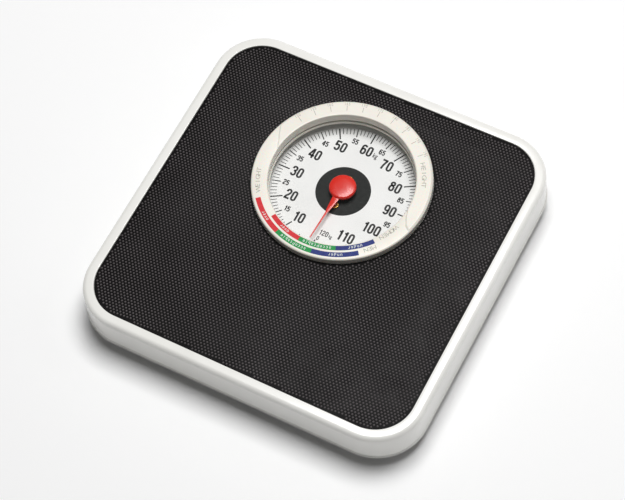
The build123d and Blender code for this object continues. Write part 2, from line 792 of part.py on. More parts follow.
def rack():
    """Toothed bar beside the pinion with a fork at its rear end."""
    pitch = pi * gear_module
    lean = tan(20 * pi / 180)
    line = -pitch_radius
    root = line - 0.5
    front = dial_y - rack_travel - 5
    fork_y = crank_points()[1][0]
    z_range = (rack_z, rack_z + rack_height)
    bar = block((root - rack_depth, root), (front, fork_y - 2.6), z_range)
    count = int((rack_travel + 8) / pitch)
    for index in range(count):
        y = dial_y + (2.5 - index) * pitch
        half = pitch / 4 - backlash / 2
        points = [(root - 0.2, y - half - 0.7 * lean), (line + rack_addendum, y - half + rack_addendum * lean)]
        points += [(line + rack_addendum, y + half - rack_addendum * lean), (root - 0.2, y + half + 0.7 * lean)]
        bar += extrude(Pos(0, 0, rack_z) * make_face(Polyline(*points, close=True)), rack_height)
    ear_x = (crank_x + 1.8, crank_x + 3.0)
    bar += block(ear_x, (fork_y - 3.4, fork_y + 3.4), (rack_z - 1.8, rack_pin_z + 2.4))
    half_slot = crank_pin + slot_gap
    bar -= block(ear_x, (fork_y - half_slot, fork_y + half_slot), (rack_pin_z - half_slot, rack_pin_z + 5))
    return bar


def pinion():
    """Ten-tooth involute pinion, with one tooth pointing at the rack at rest."""
    base = pitch_radius * cos(20 * pi / 180)
    tip = pitch_radius + gear_module
    root = pitch_radius - rack_addendum - 0.1
    at_pitch = pi / (2 * pinion_teeth) - backlash / (2 * pitch_radius) + tan(20 * pi / 180) - 20 * pi / 180
    flank = [base + (tip - base) * step / 4 for step in range(5)]
    points = []
    for tooth in range(pinion_teeth):
        middle = pi + 2 * pi * tooth / pinion_teeth
        halves = [at_pitch - (tan(acos(base / radius)) - acos(base / radius)) for radius in flank]
        rise = [(root, -halves[0])] + [(radius, -half) for radius, half in zip(flank, halves)]
        fall = [(radius, -turn) for radius, turn in reversed(rise)]
        points += [(radius * cos(middle + turn), radius * sin(middle + turn)) for radius, turn in rise + fall]
    low = rack_z - 0.6
    gear = extrude(Pos(0, dial_y, low) * make_face(Polyline(*points, close=True)), pinion_height)
    return gear - disc(shaft_radius, (low - 1, low + 5))


def pinion_shaft():
    """Steel shaft from the lower bearing to the pointer."""
    return disc(shaft_radius, (rack_z - 4.2, needle_z + needle_thickness + 1.2))


def pointer_needle():
    """Flat pointer: round hub, tapering neck and thin needle, at zero."""
    hub = Circle(cap_radius - 2)
    neck = make_face(Polyline((-2.6, 0), (2.6, 0), (1.1, -21), (-1.1, -21), close=True))
    needle = make_face(Polyline((-0.7, -20), (0.7, -20), (0.25, -needle_length), (-0.25, -needle_length), close=True))
    turned = Pos(0, dial_y, needle_z) * Rot(0, 0, -needle_rest) * (hub + neck + needle)
    blade = extrude(turned, needle_thickness)
    return blade - disc(shaft_radius, (needle_z - 1, needle_z + 2))


def pointer_cap():
    """Domed round cap on the pointer's hub."""
    low = needle_z + needle_thickness
    cap = disc(cap_radius, (low - 1.4, low + cap_height - 1.4))
    cap = fillet(cap.edges().group_by(Axis.Z)[-1], 1.2)
    slot = Pos(0, -cap_radius / 2 - 0.5, -1) * Box(6.4, cap_radius + 1, 2)
    cap -= Pos(0, dial_y, low) * Rot(0, 0, -needle_rest) * slot
    return cap - disc(cap_radius - 2, (low - 2, low)) - disc(shaft_radius, (low - 1, low + 1.2))


def all_nodes():
    """Every piece of the scale by its node name."""
    nodes = {
        "platform_cover": platform_cover(),
        "non_slip_mat": non_slip_mat(),
        "bezel_collar": bezel_collar(),
        "bezel_retainer": bezel_retainer(),
        "dial_lens": dial_lens(),
        "bmi_ring": bmi_ring(),
        "base_tray": base_tray(),
        "base_rivets": base_rivets(),
        "mechanism_bracket": mechanism_bracket(),
        "lower_bearing_strap": lower_bearing_strap(),
        "pinion_bush": pinion_bush(),
        "rack_guide": rack_guide(),
        "dial_plate": dial_plate(),
        "dial_screws": dial_screws(),
        "crank_bracket": crank_bracket(),
        "crank_pivot_pin": crank_pivot_pin(),
        "spring_bridge": spring_bridge(),
        "spring_anchor_arm": spring_anchor_arm(),
        "anchor_pivot_pin": anchor_pivot_pin(),
        "zero_nut": zero_nut(),
        "main_spring": main_spring(),
        "zero_bush": zero_bush(),
        "zero_screw": zero_screw(),
        "zero_wheel": zero_wheel(),
        "long_lever_knives": long_lever_knives(),
        "short_lever_knives": short_lever_knives(),
        "calibrating_plate": calibrating_plate(),
        "crank": crank(),
        "crank_pins": crank_pins(),
        "rack": rack(),
        "pinion": pinion(),
        "pinion_shaft": pinion_shaft(),
        "pointer_needle": pointer_needle(),
        "pointer_cap": pointer_cap(),
    }
    for number in range(len(keeper_places())):
        nodes[f"keeper_spring_{number + 1}"] = keeper_spring(number)
    for side_name, side in SIDES.items():
        nodes[f"long_lever_{side_name}"] = long_lever(side)
        nodes[f"short_lever_{side_name}"] = short_lever(side)
        for end_name, end in ENDS.items():
            place = f"{end_name}_{side_name}"
            nodes[f"foot_{place}"] = foot(end_name, side_name)
            nodes[f"fulcrum_bracket_{place}"] = fulcrum_bracket(side, end)
            nodes[f"load_bearer_{place}"] = load_bearer(side, end)
    return nodes


os.makedirs("parts", exist_ok=True)
for name, shape in all_nodes().items():
    export_step(shape, f"parts/{name}.step")
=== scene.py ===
# %% [markdown]
# # A dial bathroom scale, dressed in Blender
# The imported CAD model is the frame: it holds every size, place and moving body. This lesson gives the scale
# its visible skins and finishes: stove-enamelled steel, moulded vinyl, ABS, printed inks, brass and plated
# steel. Every piece is placed from the frame's own boxes, so that nothing has to be fitted by eye.

# %% Load the frame
import json
from math import acos, cos, pi, radians, sin

import bmesh
import bpy
from mathutils import Matrix, Vector


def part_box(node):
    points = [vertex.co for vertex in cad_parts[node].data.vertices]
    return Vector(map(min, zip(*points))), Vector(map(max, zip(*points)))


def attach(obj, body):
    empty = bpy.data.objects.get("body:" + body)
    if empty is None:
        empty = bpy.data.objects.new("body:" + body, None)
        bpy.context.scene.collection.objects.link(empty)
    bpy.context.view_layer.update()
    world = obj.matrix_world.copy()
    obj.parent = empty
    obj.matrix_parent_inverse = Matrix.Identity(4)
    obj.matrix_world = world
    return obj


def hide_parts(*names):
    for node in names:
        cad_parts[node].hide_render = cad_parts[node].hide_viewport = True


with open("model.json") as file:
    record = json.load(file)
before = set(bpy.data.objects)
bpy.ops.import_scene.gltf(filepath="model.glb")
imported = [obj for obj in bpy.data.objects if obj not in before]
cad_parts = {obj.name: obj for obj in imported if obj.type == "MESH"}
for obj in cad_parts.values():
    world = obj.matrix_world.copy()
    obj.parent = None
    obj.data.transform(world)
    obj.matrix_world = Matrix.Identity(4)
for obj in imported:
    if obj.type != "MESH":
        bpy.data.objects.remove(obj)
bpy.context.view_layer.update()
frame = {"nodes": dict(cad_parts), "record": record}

MM = 0.001


# %% [markdown]
# Sizes come from the frame. The cover's box gives the outline, the mat's box the standing height, the ring's
# box its radius and the dial's box its centre. Only thicknesses and radii that a box can't tell are written
# here.

# %% Key sizes
cover_low, cover_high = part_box("platform_cover")
mat_low, mat_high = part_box("non_slip_mat")
ring_low, ring_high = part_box("bmi_ring")
dial_low, dial_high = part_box("dial_plate")
lens_low, lens_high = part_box("dial_lens")
collar_low, collar_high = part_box("bezel_collar")

HALF_X = cover_high.x
HALF_Y = cover_high.y
DIAL_X = 0.0
DIAL_Y = (dial_low.y + dial_high.y) / 2
RING_R = (ring_high.x - ring_low.x) / 2
RING_WIDTH = 12.2 * MM
RING_INNER = RING_R - RING_WIDTH
SHEET = 1.0 * MM
HEM_CORNER = 38.3 * MM
MAT_TOP = mat_high.z
DIAL_TOP = dial_high.z
PRINT = 0.05 * MM
print("dial centre", round(DIAL_Y, 4), "mat top", round(MAT_TOP, 4))


# %% [markdown]
# Two mesh builders make most of the skins. A pressed or moulded rim has the same section all round, so its
# section is swept round a rounded rectangle. A turned or round moulded piece is a section spun about an axis.

# %% Mesh helpers
def new_object(name, mesh):
    """Link a mesh under a name."""
    obj = bpy.data.objects.new(name, mesh)
    bpy.context.scene.collection.objects.link(obj)
    return obj


def finish_mesh(name, vertices, faces, material, sharp=32.0):
    """Mesh with merged doubles, outward faces and smooth shading up to an angle."""
    merge = 1e-7
    mesh = bpy.data.meshes.new(name)
    mesh.from_pydata(vertices, [], faces)
    work = bmesh.new()
    work.from_mesh(mesh)
    bmesh.ops.remove_doubles(work, verts=work.verts, dist=merge)
    bmesh.ops.dissolve_degenerate(work, edges=work.edges, dist=merge)
    bmesh.ops.recalc_face_normals(work, faces=work.faces)
    work.to_mesh(mesh)
    work.free()
    mesh.materials.append(material)
    mesh.shade_smooth()
    mesh.set_sharp_from_angle(angle=radians(sharp))
    return new_object(name, mesh)


def arc(x, z, radius, start, end, steps=6):
    """Points of an arc, angles in degrees."""
    turns = [radians(start + (end - start) * i / steps) for i in range(steps + 1)]
    return [(x + radius * cos(t), z + radius * sin(t)) for t in turns]


def outline(half_x, half_y, corner):
    """Rounded rectangle, anticlockwise, with its points on the corner arcs."""
    steps = 20
    points = []
    for quarter in range(4):
        sign_x = (1, -1, -1, 1)[quarter]
        sign_y = (1, 1, -1, -1)[quarter]
        for i in range(steps + 1):
            t = (quarter + i / steps) * pi / 2
            x = sign_x * (half_x - corner) + corner * cos(t)
            y = sign_y * (half_y - corner) + corner * sin(t)
            points.append((x, y))
    return points


def swept(name, half_x, half_y, corner, section, material):
    """Closed section (offset outwards, height) swept round a rounded rectangle."""
    vertices = []
    for offset, z in section:
        ring = outline(half_x + offset, half_y + offset, corner + offset)
        vertices += [(x, y, z) for x, y in ring]
    around = len(ring)
    faces = []
    for i in range(len(section)):
        for j in range(around):
            a, b = i * around, ((i + 1) % len(section)) * around
            k = (j + 1) % around
            faces.append((a + j, a + k, b + k, b + j))
    return finish_mesh(name, vertices, faces, material)


def lathe(name, section, material, x=DIAL_X, y=DIAL_Y, steps=96, sharp=32.0):
    """Closed section (radius, height) spun about an upright axis."""
    vertices = []
    for radius, z in section:
        for j in range(steps):
            t = 2 * pi * j / steps
            vertices.append((x + radius * cos(t), y + radius * sin(t), z))
    faces = []
    for i in range(len(section)):
        a, b = i * steps, ((i + 1) % len(section)) * steps
        for j in range(steps):
            k = (j + 1) % steps
            faces.append((a + j, a + k, b + k, b + j))
    return finish_mesh(name, vertices, faces, material, sharp)


def plate(name, loops, z_range, material, bevel=0.0):
    """Flat plate between two heights, from one outer loop and any holes."""
    curve = bpy.data.curves.new(name, "CURVE")
    curve.dimensions = "2D"
    curve.fill_mode = "BOTH"
    curve.extrude = (z_range[1] - z_range[0]) / 2 - bevel
    curve.bevel_depth = bevel
    curve.bevel_resolution = 2
    for loop in loops:
        spline = curve.splines.new("POLY")
        spline.points.add(len(loop) - 1)
        for point, (x, y) in zip(spline.points, loop):
            point.co = (x, y, 0.0, 1.0)
        spline.use_cyclic_u = True
    source = new_object(name + "_curve", curve)
    mesh = bpy.data.meshes.new_from_object(source)
    bpy.data.objects.remove(source)
    middle = (z_range[0] + z_range[1]) / 2
    vertices = [(v.co.x, v.co.y, v.co.z + middle) for v in mesh.vertices]
    faces = [tuple(p.vertices) for p in mesh.polygons]
    bpy.data.meshes.remove(mesh)
    return finish_mesh(name, vertices, faces, material)


def circle(radius, steps=128):
    """Loop of a circle about the dial's centre."""
    turns = [2 * pi * j / steps for j in range(steps)]
    return [(DIAL_X + radius * cos(t), DIAL_Y + radius * sin(t)) for t in turns]


def settle(piece, body, slot, *nodes):
    """Ride on a body and stand for CAD nodes; the slot argument is not used."""
    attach(piece, body)
    if nodes:
        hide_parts(*nodes)
    print(piece.name, len(piece.data.polygons), "faces on", body)
    return piece


# %% [markdown]
# Colours are written as sRGB hex, the way a paint card gives them, and turned to linear light by one
# function. One small function adds any node with its settings and links, so that each material reads as a
# short recipe.

# %% Material helpers
def linear(code):
    """sRGB hex to linear RGBA."""
    parts = [int(code[i:i + 2], 16) / 255 for i in (0, 2, 4)]
    straight = [c / 12.92 if c <= 0.04045 else ((c + 0.055) / 1.055) ** 2.4 for c in parts]
    return (*straight, 1.0)


def put(tree, kind, inputs=None, **settings):
    """Add a node; inputs are values or sockets to link, by name or number."""
    node = tree.nodes.new(kind)
    for key, value in settings.items():
        setattr(node, key, value)
    for key, value in (inputs or {}).items():
        socket = node.inputs[key]
        if isinstance(value, bpy.types.NodeSocket):
            tree.links.new(value, socket)
        else:
            socket.default_value = value
    return node


def new_material(name, **sockets):
    """Material with a principled shader; keywords set its sockets by name."""
    material = bpy.data.materials.new(name)
    material.use_nodes = True
    tree = material.node_tree
    shader = tree.nodes["Principled BSDF"]
    for key, value in sockets.items():
        shader.inputs[key.replace("_", " ")].default_value = value
    return material, tree, shader


def object_noise(tree, size_mm, detail=2.0):
    """Noise whose features are about a given size in millimetres."""
    place = put(tree, "ShaderNodeTexCoord")
    return put(tree, "ShaderNodeTexNoise", {
        "Vector": place.outputs["Object"], "Scale": 1.0 / (size_mm * MM), "Detail": detail})


def tint(tree, shader, noise, low, high):
    """Vary the base colour between two hex colours along the middle of a noise's range."""
    ramp = put(tree, "ShaderNodeValToRGB", {"Fac": noise.outputs["Fac"]})
    for stop, position, code in zip(ramp.color_ramp.elements, (0.35, 0.65), (low, high)):
        stop.position = position
        stop.color = linear(code)
    tree.links.new(ramp.outputs["Color"], shader.inputs["Base Color"])


def vary_roughness(tree, shader, noise, low, high):
    """Vary the roughness between two values along a noise."""
    spread = put(tree, "ShaderNodeMapRange", {
        "Value": noise.outputs["Fac"], "From Min": 0.3, "From Max": 0.7,
        "To Min": low, "To Max": high})
    tree.links.new(spread.outputs["Result"], shader.inputs["Roughness"])


def bump(tree, shader, noise, depth_mm, strength=1.0):
    """Fine relief from a noise."""
    relief = put(tree, "ShaderNodeBump", {
        "Height": noise.outputs["Fac"], "Distance": depth_mm * MM, "Strength": strength})
    tree.links.new(relief.outputs["Normal"], shader.inputs["Normal"])


# %% [markdown]
# The cover and the base are pressed steel. The cover is stove enamelled: a hard, glossy, slightly warm white
# whose surface has a faint orange peel of about 2 mm. The base has a thinner powder coat, duller and greyer.

# %% Enamel and powder coat
def stove_enamel():
    """Glossy white enamel with a faint orange peel."""
    material, tree, shader = new_material("stove_enamel", Coat_Weight=0.35, Coat_Roughness=0.08)
    tint(tree, shader, object_noise(tree, 60.0), "EFEEE9", "F4F3EF")
    vary_roughness(tree, shader, object_noise(tree, 14.0, 4.0), 0.17, 0.27)
    bump(tree, shader, object_noise(tree, 2.2), 0.02, 0.35)
    return material


def powder_coat():
    """Dull light grey powder coat with a fine grain."""
    material, tree, shader = new_material("powder_coat")
    tint(tree, shader, object_noise(tree, 25.0, 3.0), "C9C9C4", "D4D4D0")
    vary_roughness(tree, shader, object_noise(tree, 9.0, 4.0), 0.42, 0.58)
    bump(tree, shader, object_noise(tree, 0.7, 3.0), 0.02, 0.5)
    return material


ENAMEL = stove_enamel()
POWDER = powder_coat()
print("steel finishes:", ENAMEL.name, POWDER.name)


# %% [markdown]
# The mat is black calendered vinyl with moulded pips. It is never quite black: the skin scatters a little
# light, and wear dulls it in wide, faint patches. The pips get a lighter grey copy of the same vinyl: a
# painted highlight that stands in for the sheen on their tops and edges.
# The feet are plain black rubber.

# %% Vinyl and rubber
def calendered_vinyl(name, low, high):
    """Satin black vinyl with a fine skin grain, between two colours."""
    material, tree, shader = new_material(name, IOR=1.5, Specular_IOR_Level=0.1)
    tint(tree, shader, object_noise(tree, 35.0, 4.0), low, high)
    vary_roughness(tree, shader, object_noise(tree, 18.0, 4.0), 0.46, 0.6)
    bump(tree, shader, object_noise(tree, 0.35, 3.0), 0.03, 0.5)
    return material


def moulded_rubber():
    """Dull black rubber with a bloom."""
    material, tree, shader = new_material("moulded_rubber")
    tint(tree, shader, object_noise(tree, 6.0, 4.0), "1B1B1B", "2A2A29")
    vary_roughness(tree, shader, object_noise(tree, 3.0, 4.0), 0.65, 0.85)
    bump(tree, shader, object_noise(tree, 0.5, 3.0), 0.03, 0.6)
    return material


VINYL = calendered_vinyl("calendered_vinyl", "090808", "0E0C0D")
# Painted highlight: the pips' lighter grey vinyl stands in for the sheen on their tops and edges.
PIP_SHEEN_VINYL = calendered_vinyl("pip_sheen_vinyl", "5B5657", "676263")
RUBBER = moulded_rubber()
print("vinyl and rubber:", VINYL.name, PIP_SHEEN_VINYL.name, RUBBER.name)


# %% [markdown]
# The ring, its collar, the pointer and the thumb wheel are injection-moulded ABS. The ivory grade lets a
# little light in, which softens its edges. A spark-eroded mould leaves a grain of about half a millimetre.

# %% Moulded plastics
def moulded_abs(name, low, high, roughness, glow):
    """Injection-moulded ABS in a colour between two hex values."""
    material, tree, shader = new_material(name, Subsurface_Weight=glow, Subsurface_Scale=0.6 * MM, IOR=1.53)
    tint(tree, shader, object_noise(tree, 40.0, 3.0), low, high)
    vary_roughness(tree, shader, object_noise(tree, 11.0, 4.0), roughness - 0.05, roughness + 0.06)
    bump(tree, shader, object_noise(tree, 0.5, 2.0), 0.015, 0.5)
    return material


IVORY = moulded_abs("ivory_abs", "EAE5DA", "F0ECE2", 0.36, 0.12)
KNOB_BLACK = moulded_abs("black_abs", "161616", "202020", 0.42, 0.0)
POINTER_RED = moulded_abs("signal_red_abs", "DE2418", "EA2E1F", 0.24, 0.05)
print("plastics:", IVORY.name, KNOB_BLACK.name, POINTER_RED.name)


# %% [markdown]
# The dial is a white-lacquered sheet with screen-printed inks. Each ink lies as a very thin film on its
# ground, so the printing is real geometry that stands a twentieth of a millimetre proud, with its own
# slightly uneven finish.

# %% Lacquer and inks
def lacquer():
    """Satin white dial lacquer."""
    material, tree, shader = new_material("dial_lacquer")
    tint(tree, shader, object_noise(tree, 30.0, 2.0), "F4F4F2", "F9F9F7")
    vary_roughness(tree, shader, object_noise(tree, 5.0, 3.0), 0.34, 0.46)
    bump(tree, shader, object_noise(tree, 0.9, 2.0), 0.01, 0.3)
    return material


def ink(name, low, high, roughness=0.45):
    """Screen-printing ink, a little uneven in tone."""
    material, tree, shader = new_material(name, Specular_IOR_Level=0.25)
    tint(tree, shader, object_noise(tree, 1.6, 3.0), low, high)
    vary_roughness(tree, shader, object_noise(tree, 2.5, 3.0), roughness - 0.05, roughness + 0.08)
    return material


LACQUER = lacquer()
BLACK_INK = ink("black_ink", "1C1C1B", "282827")
HUB_INK = ink("hub_ink", "151715", "1C1E1B", 0.55)
GREY_INK = ink("grey_ink", "A9A69C", "B8B5AA")
RED_INK = ink("red_ink", "CE2029", "DA2C34")
GREEN_INK = ink("green_ink", "078A3E", "12984A")
BLUE_INK = ink("blue_ink", "14266E", "1B2E7E")
WHITE_INK = ink("white_ink", "E6EDE8", "F2F6F3")
BAND_INKS = (RED_INK, GREEN_INK, BLUE_INK)
print("printing:", LACQUER.name, BLACK_INK.name, [finish.name for finish in BAND_INKS])


# %% [markdown]
# The works are zinc-plated steel stampings, bright drawn spring wire and a few brass turnings. Rolling and
# plating leave long faint streaks, which a stretched noise gives; turned brass has an even grain. The window
# is clear acrylic: almost only its gloss shows. At the end, every CAD node takes the finish of its material
# slot.

# %% Metals and the clear window
def plated_metal(name, low, high, roughness, grain=(1.0, 1.0, 0.05)):
    """Metal with faint streaks along one axis."""
    streaks_per_metre = 900.0
    material, tree, shader = new_material(name, Metallic=1.0)
    place = put(tree, "ShaderNodeTexCoord")
    stretch = put(tree, "ShaderNodeMapping", {"Vector": place.outputs["Object"], "Scale": grain})
    streak = put(tree, "ShaderNodeTexNoise", {
        "Vector": stretch.outputs["Vector"], "Scale": streaks_per_metre, "Detail": 3.0})
    tint(tree, shader, streak, low, high)
    vary_roughness(tree, shader, streak, roughness - 0.06, roughness + 0.1)
    bump(tree, shader, streak, 0.01, 0.3)
    return material


def clear_acrylic():
    """Clear window: almost only its reflection shows."""
    material, tree, shader = new_material("clear_acrylic", Alpha=0.035, IOR=1.49)
    shader.inputs["Base Color"].default_value = linear("4A5050")
    vary_roughness(tree, shader, object_noise(tree, 20.0, 4.0), 0.03, 0.07)
    return material


ZINC = plated_metal("zinc_plate", "B9BDC0", "CDD0D2", 0.34)
WIRE = plated_metal("drawn_wire", "A9ACAE", "BFC2C4", 0.26)
BRASS = plated_metal("turned_brass", "C79A45", "D9B05C", 0.28, (1.0, 1.0, 1.0))
CLEAR = clear_acrylic()
FINISH = {
    "enamel_white": ENAMEL, "vinyl_black": VINYL, "ivory_abs": IVORY, "clear_lens": CLEAR,
    "dial_face": LACQUER, "pointer_red": POINTER_RED, "base_paint": POWDER, "rubber_feet": RUBBER,
    "brass": BRASS, "spring_steel": WIRE, "knob_black": KNOB_BLACK, "zinc_steel": ZINC}
for part in frame["record"]["subparts"]:
    node = frame["nodes"][part["node"]]
    node.data.materials.clear()
    node.data.materials.append(FINISH[part["material_slot"]])


# %% [markdown]
# The cover is one pressing. Its section runs from a rolled hem up a slightly drafted skirt, over a rounded
# rim, and down into the recess that holds the mat. Sweeping that section keeps every radius true round the
# corners. The recess floor is a flat plate with the dial's hole in it.

# %% Platform cover
HEM_Z = cover_low.z
RIM_Z = cover_high.z
RECESS_Z = mat_low.z
RIM_ROUND = 3.5 * MM
DRAFT = 1.4 * MM
RECESS_EDGE = -9.6 * MM
LEDGE = -24.0 * MM


def cover_section():
    """Closed section of the cover, offsets counted from the hem."""
    roll = 0.8 * MM
    lip = 0.45 * MM
    top = RIM_Z - RIM_ROUND
    points = arc(-roll, HEM_Z + roll, roll, -90, 60, 8)
    points += [(-roll * 0.9, HEM_Z + 2.1 * roll), (-0.65 * MM, HEM_Z + 3 * roll)]
    points += arc(-DRAFT - RIM_ROUND, top, RIM_ROUND, 0, 90, 12)
    points += arc(RECESS_EDGE + lip, RIM_Z - lip, lip, 90, 180, 5)
    points += [(RECESS_EDGE, RECESS_Z), (LEDGE, RECESS_Z), (LEDGE, RECESS_Z - SHEET)]
    points += [(RECESS_EDGE + SHEET, RECESS_Z - SHEET), (RECESS_EDGE + SHEET, RIM_Z - SHEET)]
    points += arc(-DRAFT - RIM_ROUND, top, RIM_ROUND - SHEET, 90, 0, 10)
    return points + [(-1.65 * MM, HEM_Z + 2 * roll), (-1.7 * MM, HEM_Z + 0.2 * MM)]


cover = swept("cover_pressing", HALF_X, HALF_Y, HEM_CORNER, cover_section(), ENAMEL)
settle(cover, "platform", "enamel_white", "platform_cover")
inset = LEDGE + SHEET
floor_loops = [outline(HALF_X + inset, HALF_Y + inset, HEM_CORNER + inset), circle(RING_R - 6.0 * MM)]
cover_floor = plate("cover_recess_floor", floor_loops, (RECESS_Z - SHEET, RECESS_Z), ENAMEL)
settle(cover_floor, "platform", "enamel_white")


# %% [markdown]
# The mat is a flat vinyl sheet with a narrow border free of pips along its edge and round the ring. The pips
# stand in staggered rows, a little turned against the mat's edges. Thousands of equal pips are what Geometry
# Nodes are for: points in a grid, a test for the mat's outline, and one small cut cone placed on each. A cone
# has so few faces that the whole field stays light.

# %% Mat and its pips
PIP_PITCH = 2.6 * MM
PIP_ROW = 2.08 * MM
PIP_TURN = radians(5.0)
PIP_RADIUS = 0.82 * MM
PIP_HEIGHT = 0.5 * MM
PIP_SINK = 0.05 * MM
PIP_TAPER = 0.42
PIP_MARGIN = 1.4 * MM
PIP_COLUMNS = 150
MAT_FACE = MAT_TOP - PIP_HEIGHT
MAT_CORNER = 28.3 * MM
MAT_HOLE = RING_R + 0.4 * MM


def group_with(name, sizes):
    """Geometry node group with float inputs and a material input."""
    tree = bpy.data.node_groups.new(name, "GeometryNodeTree")
    tree.interface.new_socket("Geometry", in_out="INPUT", socket_type="NodeSocketGeometry")
    for label in sizes:
        tree.interface.new_socket(label, in_out="INPUT", socket_type="NodeSocketFloat")
    tree.interface.new_socket("Finish", in_out="INPUT", socket_type="NodeSocketMaterial")
    tree.interface.new_socket("Geometry", in_out="OUTPUT", socket_type="NodeSocketGeometry")
    return tree, put(tree, "NodeGroupInput").outputs


def math(tree, operation, *values):
    """Math node's result."""
    node = put(tree, "ShaderNodeMath", dict(enumerate(values)), operation=operation)
    return node.outputs["Value"]


def close_group(tree, geometry, finish):
    """Realise the instances, set the material and end the tree."""
    real = put(tree, "GeometryNodeRealizeInstances", {"Geometry": geometry})
    painted = put(tree, "GeometryNodeSetMaterial", {"Geometry": real.outputs["Geometry"], "Material": finish})
    put(tree, "NodeGroupOutput", {"Geometry": painted.outputs["Geometry"]})


def run_group(name, tree, sizes, finish):
    """Plain mesh object from a node group and its named sizes."""
    seed = bpy.data.meshes.new(name)
    carrier = new_object(name, seed)
    modifier = carrier.modifiers.new("shape", "NODES")
    modifier.node_group = tree
    for item in tree.interface.items_tree:
        if item.in_out == "INPUT" and item.name in sizes:
            modifier[item.identifier] = sizes[item.name]
        if item.in_out == "INPUT" and item.name == "Finish":
            modifier[item.identifier] = finish
    graph = bpy.context.evaluated_depsgraph_get()
    mesh = bpy.data.meshes.new_from_object(carrier.evaluated_get(graph))
    bpy.data.objects.remove(carrier)
    mesh.name = name
    mesh.materials.clear()
    mesh.materials.append(finish)
    mesh.polygons.foreach_set("material_index", [0] * len(mesh.polygons))
    return new_object(name, mesh)


def pip_tree():
    """Staggered field of low pips inside a rounded rectangle and outside a circle."""
    names = ["Pitch", "Row", "Turn", "Half X", "Half Y", "Corner", "Hole", "Hole Y", "Radius", "Height",
             "Floor", "Columns"]
    tree, sizes = group_with("pip_field", names)
    columns = sizes["Columns"]
    total = math(tree, "MULTIPLY", columns, columns)
    row_of_points = put(tree, "GeometryNodeMeshLine", {"Count": total, "Offset": (0.0, 0.0, 0.0)})
    index = put(tree, "GeometryNodeInputIndex").outputs["Index"]
    row = math(tree, "FLOOR", math(tree, "DIVIDE", index, columns))
    column = math(tree, "SUBTRACT", index, math(tree, "MULTIPLY", row, columns))
    stagger = math(tree, "MULTIPLY", math(tree, "MODULO", row, 2.0), 0.5)
    middle = math(tree, "DIVIDE", columns, 2.0)
    across = math(tree, "SUBTRACT", math(tree, "ADD", column, stagger), middle)
    x = math(tree, "MULTIPLY", across, sizes["Pitch"])
    y = math(tree, "MULTIPLY", math(tree, "SUBTRACT", row, middle), sizes["Row"])
    place = put(tree, "ShaderNodeCombineXYZ", {"X": x, "Y": y, "Z": sizes["Floor"]})
    turned = put(tree, "ShaderNodeVectorRotate", {"Vector": place.outputs["Vector"], "Angle": sizes["Turn"]},
                 rotation_type="Z_AXIS")
    laid = put(tree, "GeometryNodeSetPosition", {
        "Geometry": row_of_points.outputs["Mesh"], "Position": turned.outputs["Vector"]})
    here = put(tree, "ShaderNodeSeparateXYZ", {0: put(tree, "GeometryNodeInputPosition").outputs["Position"]})
    over = []
    for axis, half in (("X", "Half X"), ("Y", "Half Y")):
        past_edge = math(tree, "SUBTRACT", math(tree, "ABSOLUTE", here.outputs[axis]), sizes[half])
        over.append(math(tree, "MAXIMUM", math(tree, "ADD", past_edge, sizes["Corner"]), 0.0))
    squares = [math(tree, "MULTIPLY", value, value) for value in over]
    from_corner = math(tree, "SQRT", math(tree, "ADD", *squares))
    outside = math(tree, "GREATER_THAN", from_corner, sizes["Corner"])
    down = math(tree, "SUBTRACT", here.outputs["Y"], sizes["Hole Y"])
    squares = [math(tree, "MULTIPLY", value, value) for value in (here.outputs["X"], down)]
    in_hole = math(tree, "LESS_THAN", math(tree, "SQRT", math(tree, "ADD", *squares)), sizes["Hole"])
    drop = math(tree, "MAXIMUM", outside, in_hole)
    kept = put(tree, "GeometryNodeDeleteGeometry", {"Geometry": laid.outputs["Geometry"], "Selection": drop})
    top = math(tree, "MULTIPLY", sizes["Radius"], PIP_TAPER)
    cone = put(tree, "GeometryNodeMeshCone", {
        "Vertices": 6, "Radius Top": top, "Radius Bottom": sizes["Radius"], "Depth": sizes["Height"]})
    field = put(tree, "GeometryNodeInstanceOnPoints", {
        "Points": kept.outputs["Geometry"], "Instance": cone.outputs["Mesh"]})
    close_group(tree, field.outputs["Instances"], sizes["Finish"])
    return tree


mat_loop = outline(mat_high.x, mat_high.y, MAT_CORNER)
mat = plate("mat_sheet", [mat_loop, circle(MAT_HOLE)], (mat_low.z, MAT_FACE), VINYL, 0.2 * MM)
settle(mat, "platform", "vinyl_black", "non_slip_mat")
# The pips take the lighter vinyl, a painted highlight for their sheen.
pips = run_group("mat_pips", pip_tree(), {
    "Pitch": PIP_PITCH, "Row": PIP_ROW, "Turn": PIP_TURN, "Half X": mat_high.x - PIP_MARGIN,
    "Half Y": mat_high.y - PIP_MARGIN, "Corner": MAT_CORNER - PIP_MARGIN, "Hole": MAT_HOLE + PIP_MARGIN,
    "Hole Y": DIAL_Y, "Radius": PIP_RADIUS, "Height": PIP_HEIGHT + PIP_SINK, "Floor": MAT_FACE - PIP_SINK,
    "Columns": float(PIP_COLUMNS)}, PIP_SHEEN_VINYL)
settle(pips, "platform", "vinyl_black")


# %% [markdown]
# The collar is fixed to the cover and carries the window. Seen from above it is only a thin ivory wall inside
# the turning ring and a narrow seat under the window's edge. Both collar and window are spun sections.

# %% Collar and window
COLLAR_BORE = RING_INNER + 2.6 * MM
COLLAR_OUTER = COLLAR_BORE + 3.5 * MM
LIP_R = RING_INNER - 0.6 * MM


